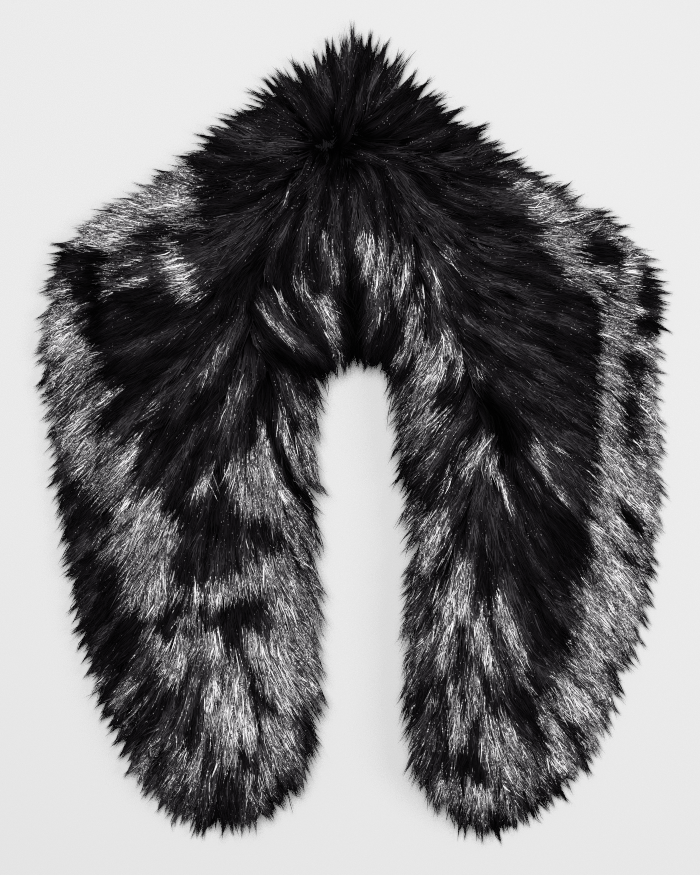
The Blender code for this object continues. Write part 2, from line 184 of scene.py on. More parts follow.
FROSTING = [
    # Left shoulder
    Streak(80, 240, 112, 238, 10, 0.9), Streak(105, 232, 150, 202, 9, 0.7),
    Streak(140, 197, 188, 188, 11, 0.75), Streak(172, 208, 188, 205, 9, 1),
    Streak(175, 225, 200, 226, 8, 0.55), Streak(168, 240, 178, 262, 8, 0.65),
    Streak(176, 258, 186, 280, 8, 0.68), Streak(183, 280, 190, 292, 6, 0.65),
    Streak(192, 300, 206, 300, 7, 0.35), Streak(104, 268, 110, 292, 6, 0.7),
    Streak(112, 289, 146, 279, 5, 0.55), Streak(114, 267, 140, 262, 4, 0.35),
    # Left front, outer band
    Streak(52, 312, 68, 302, 6, 0.7), Streak(62, 325, 72, 345, 10, 0.7),
    Streak(66, 350, 86, 350, 10, 0.75), Streak(70, 375, 95, 365, 11, 0.6),
    Streak(88, 395, 100, 388, 7, 0.7), Streak(104, 403, 116, 391, 5, 0.6),
    Streak(75, 415, 88, 408, 6, 0.85), Streak(84, 433, 98, 424, 7, 0.7),
    Streak(92, 450, 112, 446, 12, 0.95), Streak(88, 468, 118, 470, 12, 0.95),
    Streak(108, 494, 122, 480, 11, 0.85), Streak(124, 467, 138, 438, 5, 0.8),
    Streak(148, 424, 160, 400, 4, 0.4), Streak(55, 290, 66, 282, 5, 0.5),
    Streak(56, 420, 70, 440, 7, 0.3),
    # Left front, middle
    Streak(208, 378, 222, 346, 6, 0.28), Streak(228, 412, 242, 388, 9, 0.3),
    Streak(210, 483, 237, 468, 7, 0.8), Streak(192, 492, 206, 480, 6, 0.5),
    Streak(262, 424, 262, 455, 5, 0.9), Streak(254, 468, 262, 448, 7, 0.95),
    Streak(248, 497, 262, 480, 10, 0.9), Streak(266, 465, 276, 496, 5, 1),
    Streak(283, 412, 287, 446, 5, 0.7), Streak(289, 450, 303, 482, 5, 0.85),
    Streak(304, 405, 313, 470, 8, 0.65), Streak(284, 388, 292, 402, 5, 0.35),
    # Left front, pale patch and the bands below it
    Streak(130, 506, 152, 500, 8, 0.8), Streak(120, 522, 140, 504, 5, 0.75),
    Streak(148, 515, 162, 520, 10, 1), Streak(126, 546, 166, 535, 13, 1),
    Streak(146, 562, 154, 576, 13, 0.95), Streak(140, 586, 160, 592, 12, 0.9),
    Streak(134, 602, 152, 610, 7, 0.6), Streak(104, 556, 118, 538, 4, 0.7),
    Streak(98, 542, 114, 520, 5, 0.35), Streak(186, 593, 215, 592, 7, 0.7),
    Streak(213, 592, 236, 588, 8, 0.85), Streak(234, 588, 264, 573, 8, 0.85),
    Streak(260, 576, 282, 564, 8, 0.85), Streak(183, 621, 193, 614, 5, 0.75),
    Streak(149, 628, 158, 642, 6, 0.45), Streak(242, 492, 255, 508, 7, 0.9),
    Streak(264, 500, 276, 511, 6, 0.85), Streak(284, 492, 297, 510, 5, 0.6),
    Streak(244, 540, 256, 552, 5, 0.35),
    # Left front, inner edge
    Streak(300, 514, 312, 546, 4, 0.7), Streak(290, 534, 310, 570, 4, 0.65),
    Streak(279, 560, 300, 600, 8, 0.85), Streak(284, 602, 305, 642, 10, 0.65),
    Streak(280, 648, 297, 692, 8, 0.65), Streak(302, 580, 317, 622, 6, 0.6),
    Streak(262, 640, 276, 690, 6, 0.65), Streak(251, 638, 257, 662, 6, 0.95),
    Streak(268, 682, 286, 704, 6, 0.7), Streak(264, 720, 281, 737, 8, 0.65),
    Streak(300, 640, 314, 690, 5, 0.5),
    # Left front, lower fan
    Streak(200, 640, 216, 640, 8, 0.95), Streak(210, 647, 222, 656, 7, 0.85),
    Streak(174, 648, 181, 657, 9, 0.85), Streak(168, 664, 178, 676, 7, 0.85),
    Streak(182, 640, 200, 638, 5, 0.65), Streak(190, 664, 200, 690, 5, 0.3),
    Streak(218, 684, 222, 712, 8, 0.8), Streak(238, 668, 240, 716, 6, 0.85),
    Streak(245, 708, 251, 742, 5, 1), Streak(228, 714, 228, 756, 10, 0.75),
    Streak(212, 690, 209, 722, 5, 0.65), Streak(224, 662, 236, 690, 6, 0.65),
    Streak(204, 738, 194, 772, 6, 0.42), Streak(276, 754, 266, 790, 7, 0.55),
    Streak(248, 780, 256, 802, 6, 0.4), Streak(160, 746, 134, 782, 7, 0.38),
    Streak(129, 686, 114, 706, 6, 0.65), Streak(138, 704, 124, 727, 5, 0.55),
    Streak(107, 678, 94, 692, 5, 0.4), Streak(182, 750, 164, 790, 7, 0.28),
    Streak(140, 790, 150, 800, 5, 0.25),
    # Back of the neck
    Streak(324, 238, 328, 258, 3, 0.6), Streak(340, 252, 333, 276, 3.5, 0.55),
    Streak(297, 282, 312, 302, 6, 0.55), Streak(323, 299, 335, 331, 6, 0.95),
    Streak(326, 335, 340, 355, 4, 0.6), Streak(281, 298, 290, 318, 3.5, 0.6),
    Streak(262, 311, 288, 342, 4, 0.6), Streak(250, 344, 262, 348, 5, 0.2),
    Streak(282, 200, 296, 184, 5, 0.32), Streak(216, 220, 232, 210, 4, 0.3),
    Streak(228, 172, 250, 170, 5, 0.2), Streak(371, 242, 368, 279, 4.5, 0.72),
    Streak(361, 234, 360, 252, 4, 0.45), Streak(383, 245, 377, 286, 3, 0.45),
    Streak(396, 250, 389, 276, 4, 0.5), Streak(403, 265, 398, 300, 6, 0.75),
    Streak(412, 245, 405, 282, 3, 0.4), Streak(393, 300, 383, 314, 4, 0.45),
    Streak(414, 314, 410, 337, 5, 0.85), Streak(421, 298, 419, 312, 4, 0.5),
    Streak(420, 342, 424, 374, 6, 0.7), Streak(397, 361, 411, 349, 4, 0.65),
    Streak(433, 274, 436, 306, 3.5, 0.45), Streak(446, 334, 446, 352, 3.5, 0.65),
    Streak(447, 352, 435, 379, 6, 0.8), Streak(465, 352, 460, 380, 4, 0.85),
    Streak(478, 364, 468, 397, 5, 0.5), Streak(450, 248, 456, 272, 7, 0.25),
    # Right front, inner half
    Streak(427, 398, 419, 426, 7, 0.55), Streak(433, 418, 423, 446, 6, 0.6),
    Streak(404, 428, 412, 452, 5, 0.38), Streak(488, 436, 465, 467, 7, 0.9),
    Streak(464, 438, 456, 452, 4, 0.5), Streak(450, 470, 444, 492, 4, 0.42),
    Streak(491, 462, 498, 491, 6, 0.8), Streak(500, 488, 506, 504, 4, 0.7),
    Streak(535, 445, 543, 465, 4.5, 0.8), Streak(545, 474, 561, 497, 4, 0.55),
    Streak(554, 446, 557, 452, 3, 0.4), Streak(514, 464, 530, 492, 5, 0.3),
    Streak(424, 521, 440, 512, 6, 0.55), Streak(433, 543, 427, 562, 6, 0.9),
    Streak(436, 536, 449, 528, 4, 0.65), Streak(453, 534, 448, 562, 4, 0.45),
    Streak(460, 564, 446, 602, 7, 0.7), Streak(462, 570, 463, 612, 4, 0.65),
    Streak(440, 594, 456, 609, 6, 0.65), Streak(437, 620, 427, 642, 5, 0.35),
    Streak(450, 620, 442, 662, 5, 0.45), Streak(478, 624, 485, 656, 5, 0.9),
    Streak(484, 655, 493, 669, 4, 0.55), Streak(497, 598, 503, 622, 4, 0.75),
    Streak(505, 620, 523, 662, 5, 0.65), Streak(520, 664, 531, 692, 4, 0.35),
    Streak(486, 538, 488, 562, 4, 0.3),
    # Right front, lower part
    Streak(472, 674, 476, 702, 6, 0.9), Streak(454, 688, 456, 747, 4, 0.95),
    Streak(467, 711, 461, 740, 4, 1), Streak(437, 680, 432, 702, 4, 0.45),
    Streak(502, 718, 520, 756, 6, 0.85), Streak(518, 745, 533, 777, 6, 0.75),
    Streak(500, 745, 516, 782, 5, 0.55), Streak(485, 718, 487, 762, 5, 0.45),
    Streak(524, 774, 536, 802, 5, 0.55), Streak(443, 786, 450, 802, 6, 0.75),
    Streak(455, 780, 457, 792, 5, 0.75), Streak(470, 779, 476, 797, 5, 0.65),
    Streak(484, 789, 491, 802, 4, 0.45), Streak(500, 806, 511, 817, 5, 0.5),
    Streak(540, 756, 550, 772, 5, 0.45),
    # Right shoulder
    Streak(506, 176, 520, 186, 7, 0.35), Streak(522, 184, 540, 190, 6, 0.5),
    Streak(543, 204, 568, 218, 9, 0.95), Streak(560, 222, 573, 252, 12, 1),
    Streak(553, 238, 572, 268, 8, 1), Streak(571, 267, 601, 297, 6, 0.95),
    Streak(598, 268, 626, 292, 6, 0.65), Streak(588, 221, 642, 246, 7, 0.6),
    Streak(630, 248, 634, 286, 6, 0.85), Streak(619, 311, 637, 308, 7, 1),
    # Right front, outer bands
    Streak(612, 324, 614, 352, 10, 1), Streak(610, 364, 615, 396, 11, 1),
    Streak(608, 404, 610, 427, 9, 1), Streak(604, 438, 619, 462, 6, 0.85),
    Streak(605, 468, 606, 502, 9, 1), Streak(647, 343, 656, 362, 6, 0.65),
    Streak(648, 384, 652, 406, 7, 0.65), Streak(650, 414, 656, 442, 7, 0.85),
    Streak(638, 458, 649, 482, 9, 1), Streak(652, 464, 658, 492, 5, 0.65),
    Streak(628, 488, 651, 502, 7, 0.75), Streak(617, 448, 640, 500, 6, 0.5),
    Streak(605, 500, 613, 527, 8, 1), Streak(618, 525, 629, 542, 6, 1),
    Streak(594, 528, 611, 562, 6, 0.85), Streak(611, 558, 636, 592, 6, 0.75),
    Streak(640, 500, 656, 522, 5, 0.65), Streak(600, 568, 626, 612, 8, 0.8),
    Streak(587, 592, 611, 642, 9, 0.9), Streak(610, 600, 632, 642, 7, 0.6),
    Streak(584, 640, 601, 672, 8, 0.95), Streak(574, 658, 593, 687, 8, 1),
    Streak(590, 680, 611, 702, 5, 0.55), Streak(561, 679, 580, 706, 6, 0.9),
    Streak(550, 700, 571, 711, 7, 0.95), Streak(548, 719, 560, 747, 8, 1),
    Streak(555, 745, 566, 767, 6, 0.75), Streak(585, 700, 601, 742, 7, 0.55),
    Streak(570, 714, 590, 752, 6, 0.45),
    # Broad faint frosting
    Streak(90, 470, 140, 700, 28, 0.14), Streak(180, 650, 200, 780, 42, 0.17),
    Streak(285, 500, 285, 760, 28, 0.3), Streak(430, 400, 435, 760, 28, 0.22),
    Streak(490, 600, 500, 800, 30, 0.22), Streak(630, 340, 600, 640, 26, 0.4),
    Streak(60, 290, 62, 440, 14, 0.3), Streak(460, 800, 560, 770, 22, 0.3),
    Streak(340, 250, 400, 340, 38, 0.18), Streak(150, 215, 110, 260, 25, 0.2),
    Streak(230, 815, 200, 800, 25, 0.15), Streak(656, 340, 660, 480, 6, 0.6),
    Streak(655, 490, 634, 620, 7, 0.6), Streak(628, 630, 594, 740, 8, 0.5),
    Streak(46, 300, 52, 420, 7, 0.35), Streak(75, 236, 185, 168, 8, 0.6),
    Streak(320, 400, 318, 700, 7, 0.4), Streak(580, 210, 660, 262, 7, 0.45),
    Streak(410, 400, 412, 760, 8, 0.2),
    # Hollows, grooves and creases: painted shade, darker than the hair round them
    Streak(266, 352, 326, 372, 8, -0.9), Streak(95, 258, 97, 342, 9, -0.75),
    Streak(108, 360, 122, 376, 8, -0.6), Streak(200, 192, 250, 196, 10, -0.5),
    Streak(256, 262, 258, 322, 5, -0.6), Streak(269, 384, 272, 402, 6, -0.8),
    Streak(268, 420, 281, 458, 3, -0.9), Streak(281, 458, 300, 496, 3, -0.9),
    Streak(222, 612, 229, 612, 3.5, -0.9), Streak(188, 626, 222, 621, 3, -0.55),
    Streak(250, 606, 266, 603, 3, -0.3), Streak(165, 612, 172, 642, 3, -0.5),
    Streak(269, 652, 279, 682, 3, -0.4), Streak(250, 680, 262, 742, 3, -0.4),
    Streak(300, 716, 310, 760, 5, -0.3), Streak(180, 520, 232, 530, 14, -0.5),
    Streak(590, 244, 612, 253, 8, -0.35), Streak(647, 274, 650, 302, 6, -0.6),
    Streak(644, 322, 656, 325, 6, -0.6), Streak(631, 360, 636, 382, 6, -0.6),
    Streak(628, 394, 632, 442, 6, -0.7), Streak(624, 514, 641, 531, 3, -0.8),
    Streak(604, 664, 621, 676, 3, -0.5), Streak(570, 718, 581, 736, 3, -0.4),
    Streak(470, 755, 480, 776, 8, -0.7), Streak(482, 395, 500, 428, 11, -1),
    Streak(498, 428, 508, 446, 7, -0.9), Streak(340, 330, 352, 352, 12, -0.5),
    Streak(596, 310, 597, 500, 3, -0.7), Streak(345, 214, 347, 262, 2.5, -0.7),
    Streak(350, 262, 352, 330, 4, -0.95), Streak(352, 300, 357, 350, 9, -0.9),
]

# How a streak fades at its edge, in half widths
STREAK_EDGE = 0.85

# A layer's fur: the pile's length, how far its locks stand apart, and how many strands make a
# lock. Each lock has the same number of wisps, and the fall's pile has a depth over its cloth.
Fur = namedtuple("Fur", "pile lock_step strands")
FALL_FUR = Fur(41 * MM, 8.0 * MM, 48)
BAND_FUR = Fur(38 * MM, 7.5 * MM, 48)
WISPS = 8
FALL_PILE_DEPTH = 15 * MM

# The pieces of fur: which half, the plan's rows that their locks are rooted in, and their chance
FurRun = namedtuple("FurRun", "name side low_y high_y seed")
FAR = 1.0
NECK_START = 18 * MM
BAND_RUNS = (
    FurRun("band_fur_left", -1, -FAR, FAR, 11),
    FurRun("band_fur_right", 1, -FAR, FAR, 12),
)
FALL_RUNS = (
    FurRun("fall_fur_neck_left", -1, NECK_START, FAR, 21),
    FurRun("fall_fur_neck_right", 1, NECK_START, FAR, 22),
    FurRun("fall_fur_front_left", -1, -FAR, NECK_START, 23),
    FurRun("fall_fur_front_right", 1, -FAR, NECK_START, 24),
)

# Hair may be rooted a little past the cloth's edge, and the band's a little under the fall's
ROOTS_PAST_EDGE = 2 * MM
ROOTS_UNDER_FALL = 16 * MM

# Along a strand: share of its length, share of its full rise, width, how far a lock's wisps, a
# wisp's strands and the hair of a rim have gathered there, and how much of its wave it has
Knot = namedtuple("Knot", "along rise width lock_gather wisp_gather spike_gather wave")
KNOTS = [
    Knot(0.0, 0.0, 0.8, 0.0, 0.0, 0.0, 0.0),
    Knot(0.36, 0.66, 1.0, 0.20, 0.45, 0.15, 1.0),
    Knot(0.70, 0.94, 0.85, 0.58, 0.78, 0.60, 1.0),
    Knot(1.0, 1.0, 0.0, 1.0, 1.0, 1.0, 1.2),
]

# The knot at whose place in plan the tone and the flow are read
TONE_KNOT = 2

# Locks: their shift from a hexagonal grid, in steps, and the steps along a lock's guide
LOCK_JITTER = 0.36
GUIDE_STEPS = 12

# Radii that wisps and strands are rooted in, in steps between locks
WISP_RADIUS = 0.62
STRAND_RADIUS = 0.32

# Least and most length: a lock's of the pile's, a wisp's of its lock's and a strand's of its
# wisp's, and how much of a length shows in plan
LOCK_LENGTH = (0.78, 1.06)
WISP_LENGTH = (0.74, 1.10)
STRAND_LENGTH = (0.80, 1.05)
PLAN_SHARE = 0.93

# Turns off the combing, in radians, as spreads of normal noise, and the share of stray strands
LOCK_TURN = 0.09
WISP_TURN = 0.09
STRAND_TURN = 0.04
STRAY_TURN = 0.2
STRAY_SHARE = 0.04

# Heights as shares of the full one: the least of a lock or wisp, what the flow counts for in a
# wisp's, how much lower the outer strands of a wisp are, and a strand's least and most
LEAST_LEVEL = 0.74
LEVEL_RANGE = 1 - LEAST_LEVEL
FLOW_WEIGHT = 0.65
OUTER_DROP = 0.14
STRAND_LEVEL = (0.84, 1.03)

# Waves of the hair in plan, as spreads of normal noise at a knot
WISP_WAVE = 0.5 * MM
STRAND_WAVE = 0.32 * MM

# The least that hair clears the surface by, and what chance adds to it
LEAST_CLEARANCE = 0.8 * MM
CLEARANCE_SPREAD = 0.4 * MM

# The rim: the ways in from it over which hair gathers, droops and is thinner, the least share of a
# strand that is kept, and the passes that find the share
RIM_GATHER_WIDTH = 12 * MM
RIM_DROOP_WIDTH = 16 * MM
RIM_THIN_WIDTH = 4 * MM
RIM_LEAST_SHARE = 0.2
RIM_PASSES = 9

# Points that the hair of a rim gathers to: how far apart they stand, the least and most share of
# that, how far they stray, how far past the outline each comes, least and most, how steeply the
# hair beside one falls back, how wide one is, how strongly it draws, and how far strands fall short
SPIKE_SEED = 5
SPIKE_STEP = 3.0 * MM
SPIKE_STEP_RANGE = (0.7, 1.3)
SPIKE_JITTER = 0.6 * MM
SPIKE_REACH = (-1.0 * MM, 8.3 * MM)
SPIKE_SLOPE = 6.0
SPIKE_HALF_WIDTH = 2.0 * MM
SPIKE_PULL = 0.75
SPIKE_SHORTFALL = 1.6 * MM

# The hair of the peak is longer and comes farther out: where it starts to, over what way, by what
# share it is longer, and how much farther out it comes, least and most
PEAK_START = 190 * MM
PEAK_RISE = 80 * MM
PEAK_LENGTHENING = 0.42
PEAK_REACH = (1 * MM, 15 * MM)

# Ridges and grooves of the pile, drawn out along the hair: steps each way, how much broad ones
# count for, and their blur in cells
FLOW_SEED = 9
FLOW_STEPS = 12
FLOW_BROAD = 0.8
FLOW_BLUR = 1.3

# A tone by chance: its base, and what chance adds for a lock, a wisp and a strand of its own
Chance = namedtuple("Chance", "base lock wisp own")
SILVER_LIMIT = Chance(0.0, 0.05, 0.22, 0.59)
BRIGHT_TONE = Chance(0.855, 0.0, 0.12, 0.20)
DARK_TONE = Chance(0.03, 0.05, 0.13, 0.06)

# Where hair is silver: the most frosting that counts, its curve and gain, the width of the step
# from dark to silver, and how much more frosting it takes in a groove, where it gives painted shade
MOST_FROST = 0.97
FROST_CURVE = 0.8
FROST_GAIN = 1.13
SILVER_STEP = 0.22
GROOVE_SHADE_LIMIT = 0.14

# Dark hair: the painted light that a ridge of the pile adds, which leaves its grooves darker, and
# the flow that it starts from and rises over, how much frosting lightens it and up to which, and
# single pale hairs: their share in plain fur, what frosting adds to it, and their tone
RIDGE_PAINTED_LIGHT = 0.22
RIDGE_START = 0.18
RIDGE_RISE = 0.5
FROSTED_DARK = 0.9
FROSTED_DARK_MOST = 0.6
PALE_HAIRS = 0.006
PALE_HAIRS_FROSTED = 0.12
PALE_HAIR_TONE = 0.22

# Painted shade of the deep hair, and painted light on the highest: what a lock's height counts
# for beside its wisp's, the painted tone of the lowest, what full height adds, and how much darker
# the outer strands of a wisp are painted
LOCK_WEIGHT = 0.3
LOWEST_SHADE = 0.48
HEIGHT_SHADE = 0.78
OUTER_SHADE = 0.50

# Ribbons: their roll about the strand in radians as a spread of normal noise, the share that
# rolls freely and how far, their least and most width, and how far their shading is shifted
ROLL = 0.55
FREE_SHARE = 0.2
FREE_ROLL = 1.4
WIDTH_RANGE = (0.7, 1.25)
SHADE_SHIFT = 0.06

# The tone map: its steps across, the half width that a strand takes of one, and its margin
TONE_STEPS = 64.0
TONE_WIDTH = 0.003
TONE_MARGIN = 0.003

# Steps of the fur's shader: where a value starts and ends to count, and what it gives at each
Step = namedtuple("Step", "low high before after")
# Painted light along a strand: how often it changes, and the dips of painted shade between its lit
# stretches, deeper on paler tones
SHADE_DIP_COUNT = 8.0
SHADE_DIP_STEP = Step(0.38, 0.52, 1.0, 0.0)
SHADE_DIP_DEPTH = Step(0.30, 0.50, 0.12, 0.46)
# Darker root: the hair's own colour and painted shade deep in the pile; darker tip: its own colour
ROOT_SHADE = Step(0.10, 0.55, 0.10, 1.0)
TIP_SHADE = Step(0.88, 1.0, 1.0, 0.6)
# Painted glints: how often spots come along a strand, and the noise and the tones that show them
SPOT_COUNT = 24.0
GLINT_STEP = Step(0.73, 0.78, 0.0, 0.5)
GLINT_TONES = Step(0.42, 0.56, 0.0, 1.0)
# Rare painted glints, on a narrow band of dark tones
RARE_STEP = Step(0.78, 0.82, 0.0, 0.42)
RARE_TONES_FROM = Step(0.185, 0.195, 0.0, 1.0)
RARE_TONES_TO = Step(0.225, 0.235, 1.0, 0.0)

# The stage: the floor's side, the camera's height over the middle of the fur, and the lamps, each
# with its share of the light's power
FLOOR_SIDE = 12
CAMERA_DISTANCE = 3.0
SUBJECT_HEIGHT = 30 * MM
Lamp = namedtuple("Lamp", "name place side share")
LAMPS = (
    Lamp("overhead", (-0.15, 0.30, 2.4), 1.2, 1.0),
    Lamp("side", (1.5, -0.3, 1.5), 0.9, 0.15),
)


def at_photo(photo_x, photo_y):
    """Plan point, in metres, under a pixel of the photograph."""
    right = (photo_x - ORIGIN_PHOTO_X) * PHOTO_SCALE
    up = (ORIGIN_PHOTO_Y - photo_y) * PHOTO_SCALE
    return np.array([right, up])


def blur(grid, sigma):
    """Gaussian blur of a grid, sigma in cells."""
    reach = int(3 * sigma) + 1
    weights = np.exp(-0.5 * (np.arange(-reach, reach + 1) / sigma) ** 2)
    weights /= weights.sum()
    out = np.apply_along_axis(lambda row: np.convolve(row, weights, "same"), 0, grid)
    return np.apply_along_axis(lambda row: np.convolve(row, weights, "same"), 1, out)


def plan_tree(spots):
    """Search tree of plan points."""
    tree = KDTree(len(spots))
    for index, spot in enumerate(spots):
        tree.insert((spot[0], spot[1], 0.0), index)
    tree.balance()
    return tree


def of_knots(field):
    """One value of each knot, from root to tip."""
    return np.array([getattr(knot, field) for knot in KNOTS])


class PlanMap:
    """Values over the plan, on cells of CELL, read between cells by bilinear weights."""

    def __init__(self):
        low, high = CAD_BOX
        self.start = np.array([low.x - MARGIN, low.y - MARGIN])
        self.count = (
            int((high.x - low.x + 2 * MARGIN) / CELL) + 1,
            int((high.y - low.y + 2 * MARGIN) / CELL) + 1,
        )

    def cells(self):
        xs = self.start[0] + CELL * np.arange(self.count[0])
        ys = self.start[1] + CELL * np.arange(self.count[1])
        return np.stack(np.meshgrid(xs, ys, indexing="ij"), axis=-1)

    def read(self, grid, points):
        just_inside = np.array(self.count) - 1.001
        place = np.clip((points - self.start) / CELL, 0, just_inside)
        corner = place.astype(int)
        share = place - corner
        x, y = corner[..., 0], corner[..., 1]
        a, b = share[..., 0], share[..., 1]
        low = grid[x, y] * (1 - a) + grid[x + 1, y] * a
        high = grid[x, y + 1] * (1 - a) + grid[x + 1, y + 1] * a
        return low * (1 - b) + high * b


PLAN = PlanMap()


def peak_share(points):
    """How much of the peak's extra length hair at a plan point has, from 0 to 1."""
    return np.clip((points[..., 1] - PEAK_START) / PEAK_RISE, 0, 1)


class LayerMap:
    """What a layer's solids say in plan: how far in from its outline a point is, and its top."""

    def __init__(self, node_names):
        heights = self.cast(node_names)
        solid = (~np.isnan(heights)).astype(float)
        heights = np.nan_to_num(heights)
        cover = blur(solid, OUTLINE_BLUR)
        close_top = blur(heights, OUTLINE_BLUR) / np.maximum(cover, TINY)
        wide_top = blur(heights, WIDE_BLUR) / np.maximum(blur(solid, WIDE_BLUR), TINY)
        self.top = blur(np.where(cover > LEAST_COVER, close_top, wide_top), TOP_BLUR)
        inside = cover > INSIDE_COVER
        self.depth = blur(self.edge_distance(inside), DEPTH_BLUR)
        self.spikes, self.spike_reach = self.rim_spikes(inside)

    def cast(self, node_names):
        """Height of the solids' top over each cell, nan where there is none."""
        points, faces = [], []
        for name in node_names:
            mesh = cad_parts[name].data
            first = len(points)
            points += [vertex.co.copy() for vertex in mesh.vertices]
            faces += [[first + corner for corner in face.vertices] for face in mesh.polygons]
        tree = BVHTree.FromPolygons(points, faces)
        down = Vector((0, 0, -1))
        cells = PLAN.cells()
        heights = np.full(PLAN.count, np.nan)
        for i in range(PLAN.count[0]):
            for j in range(PLAN.count[1]):
                hit = tree.ray_cast(Vector((cells[i, j, 0], cells[i, j, 1], RAY_START)), down)[0]
                if hit:
                    heights[i, j] = hit.z
        return heights

    def outline_marks(self, inside):
        """Cells that the outline runs through."""
        edge = np.zeros_like(inside)
        edge[1:, :] |= inside[1:, :] != inside[:-1, :]
        edge[:, 1:] |= inside[:, 1:] != inside[:, :-1]
        return PLAN.cells()[edge]

    def rim_spikes(self, inside):
        """Places along the outline that hair gathers to, about SPIKE_STEP apart, and their reach."""
        source = np.random.default_rng(SPIKE_SEED)
        kept = np.empty((0, 2))
        for mark in source.permutation(self.outline_marks(inside)):
            away = np.linalg.norm(kept - mark, axis=-1)
            if len(kept) == 0 or away.min() > SPIKE_STEP * source.uniform(*SPIKE_STEP_RANGE):
                kept = np.vstack([kept, mark + source.normal(0, SPIKE_JITTER, 2)])
        extra = peak_share(kept) * source.uniform(*PEAK_REACH, len(kept))
        return kept, source.uniform(*SPIKE_REACH, len(kept)) + extra

    def nearest_spike(self, tips):
        """Reach of the spike nearest each tip, and the way to it across the hair."""
        tree = plan_tree(self.spikes)
        nearest = np.array([tree.find((tip[0], tip[1], 0.0))[1] for tip in tips])
        way = self.spikes[nearest] - tips
        hair = hair_direction(tips)
        across = way - (way * hair).sum(-1, keepdims=True) * hair
        return self.spike_reach[nearest], across

    def edge_distance(self, inside):
        """Distance to the outline, in metres, positive inside."""
        cells = PLAN.cells()
        tree = plan_tree(self.outline_marks(inside))
        distance = np.zeros(PLAN.count)
        for i in range(PLAN.count[0]):
            for j in range(PLAN.count[1]):
                distance[i, j] = tree.find((cells[i, j, 0], cells[i, j, 1], 0.0))[2]
        return np.where(inside, distance, -distance)

    def top_at(self, points):
        return PLAN.read(self.top, points)

    def depth_at(self, points):
        return PLAN.read(self.depth, points)

    def near_rim(self, points, width):
        """1 on the outline and outside it, down to 0 where the point is width inside."""
        return np.clip(1 - self.depth_at(points) / width, 0, 1)


FALL = LayerMap(["upper_left", "upper_right"])
UNDER = LayerMap(["under_left", "under_right"])


def comb_map():
    """Direction of the hair over the plan, from the marks of COMBING."""
    cells = PLAN.cells()
    total = np.zeros(PLAN.count + (2,))
    for mark in COMBING:
        place = at_photo(mark.photo_x, mark.photo_y)
        square = ((cells - place) ** 2).sum(-1) / COMB_REACH ** 2
        weight = 1 / (COMB_SOFTNESS + square) ** COMB_FALL
        turn = math.radians(mark.angle)
        total += weight[..., None] * np.array([math.cos(turn), math.sin(turn)])
    return total / np.linalg.norm(total, axis=-1, keepdims=True)


def streak_map(streaks):
    """How much each place keeps, from 1 outside the streaks down to 0 in the strongest."""
    cells = PLAN.cells()
    kept = np.ones(PLAN.count)
    for streak in streaks:
        start = at_photo(streak.photo_x, streak.photo_y)
        span = at_photo(streak.end_x, streak.end_y) - start
        share = np.clip((cells - start) @ span / (span @ span), 0, 1)
        away = np.linalg.norm(cells - start - share[..., None] * span, axis=-1)
        away /= streak.half_width * PHOTO_SCALE
        kept *= 1 - np.exp(-0.5 * (away / STREAK_EDGE) ** 2) * abs(streak.share)
    return kept


COMB_FIELD = comb_map()
# Painted shade: the hair in hollows, grooves and creases is darker, and less of it is silver
HOLLOW_SHADE_FIELD = streak_map([streak for streak in FROSTING if streak.share < 0])
FROST_FIELD = (1 - streak_map([streak for streak in FROSTING if streak.share > 0])) * HOLLOW_SHADE_FIELD


def hair_direction(points):
    field = np.stack([PLAN.read(COMB_FIELD[..., axis], points) for axis in (0, 1)], axis=-1)
    return field / np.maximum(np.linalg.norm(field, axis=-1, keepdims=True), TINY)


def flow_map():
    """Noise from 0 to 1 drawn out along the hair: high on the pile's ridges, low in its grooves."""
    source = np.random.default_rng(FLOW_SEED)
    broad = blur(source.normal(0, 1, PLAN.count), FLOW_BLUR)
    grain = source.normal(0, 1, PLAN.count) + FLOW_BROAD * broad / broad.std()
    total = grain.copy()
    for way in (-CELL, CELL):
        place = PLAN.cells()
        for _ in range(FLOW_STEPS):
            place = place + way * hair_direction(place)
            total += PLAN.read(grain, place)
    order = total.ravel().argsort().argsort()
    return (order / order.size).reshape(PLAN.count)


FLOW_FIELD = flow_map()


def turned(vectors, angles):
    """Plan vectors turned by angles in radians."""
    c, s = np.cos(angles), np.sin(angles)
    x, y = vectors[..., 0], vectors[..., 1]
    return np.stack([x * c - y * s, x * s + y * c], -1)


def lock_centres(step, wanted, source):
    """Jittered hexagonal places for locks, where wanted(points) is true."""
    low = PLAN.start
    high = low + CELL * np.array(PLAN.count)
    row_step = step * math.sqrt(3) / 2
    rows = int((high[1] - low[1]) / row_step)
    columns = int((high[0] - low[0]) / step)
    grid = np.stack(np.meshgrid(np.arange(columns), np.arange(rows), indexing="ij"), -1)
    column, row = grid.reshape(-1, 2).T
    points = np.stack([low[0] + step * (column + 0.5 * (row % 2)), low[1] + row_step * row], -1)
    points += source.uniform(-LOCK_JITTER, LOCK_JITTER, points.shape) * step
    return points[wanted(points)]


def disc(source, count, radius):
    """Random offsets in a disc."""
    angle = source.uniform(0, 2 * math.pi, count)
    reach = radius * np.sqrt(source.uniform(0, 1, count))
    return np.stack([np.cos(angle) * reach, np.sin(angle) * reach], -1)


def guide_paths(centres, lengths, turns):
    """Plan offsets of the knots along the comb directions, from each lock's root."""
    place = centres.copy()
    track = [np.zeros_like(centres)]
    for _ in range(GUIDE_STEPS):
        direction = turned(hair_direction(place), turns)
        place = place + direction * (lengths / GUIDE_STEPS)[:, None]
        track.append(place - centres)
    track = np.stack(track, axis=1)
    picks = [round(knot.along * GUIDE_STEPS) for knot in KNOTS]
    return track[:, picks]


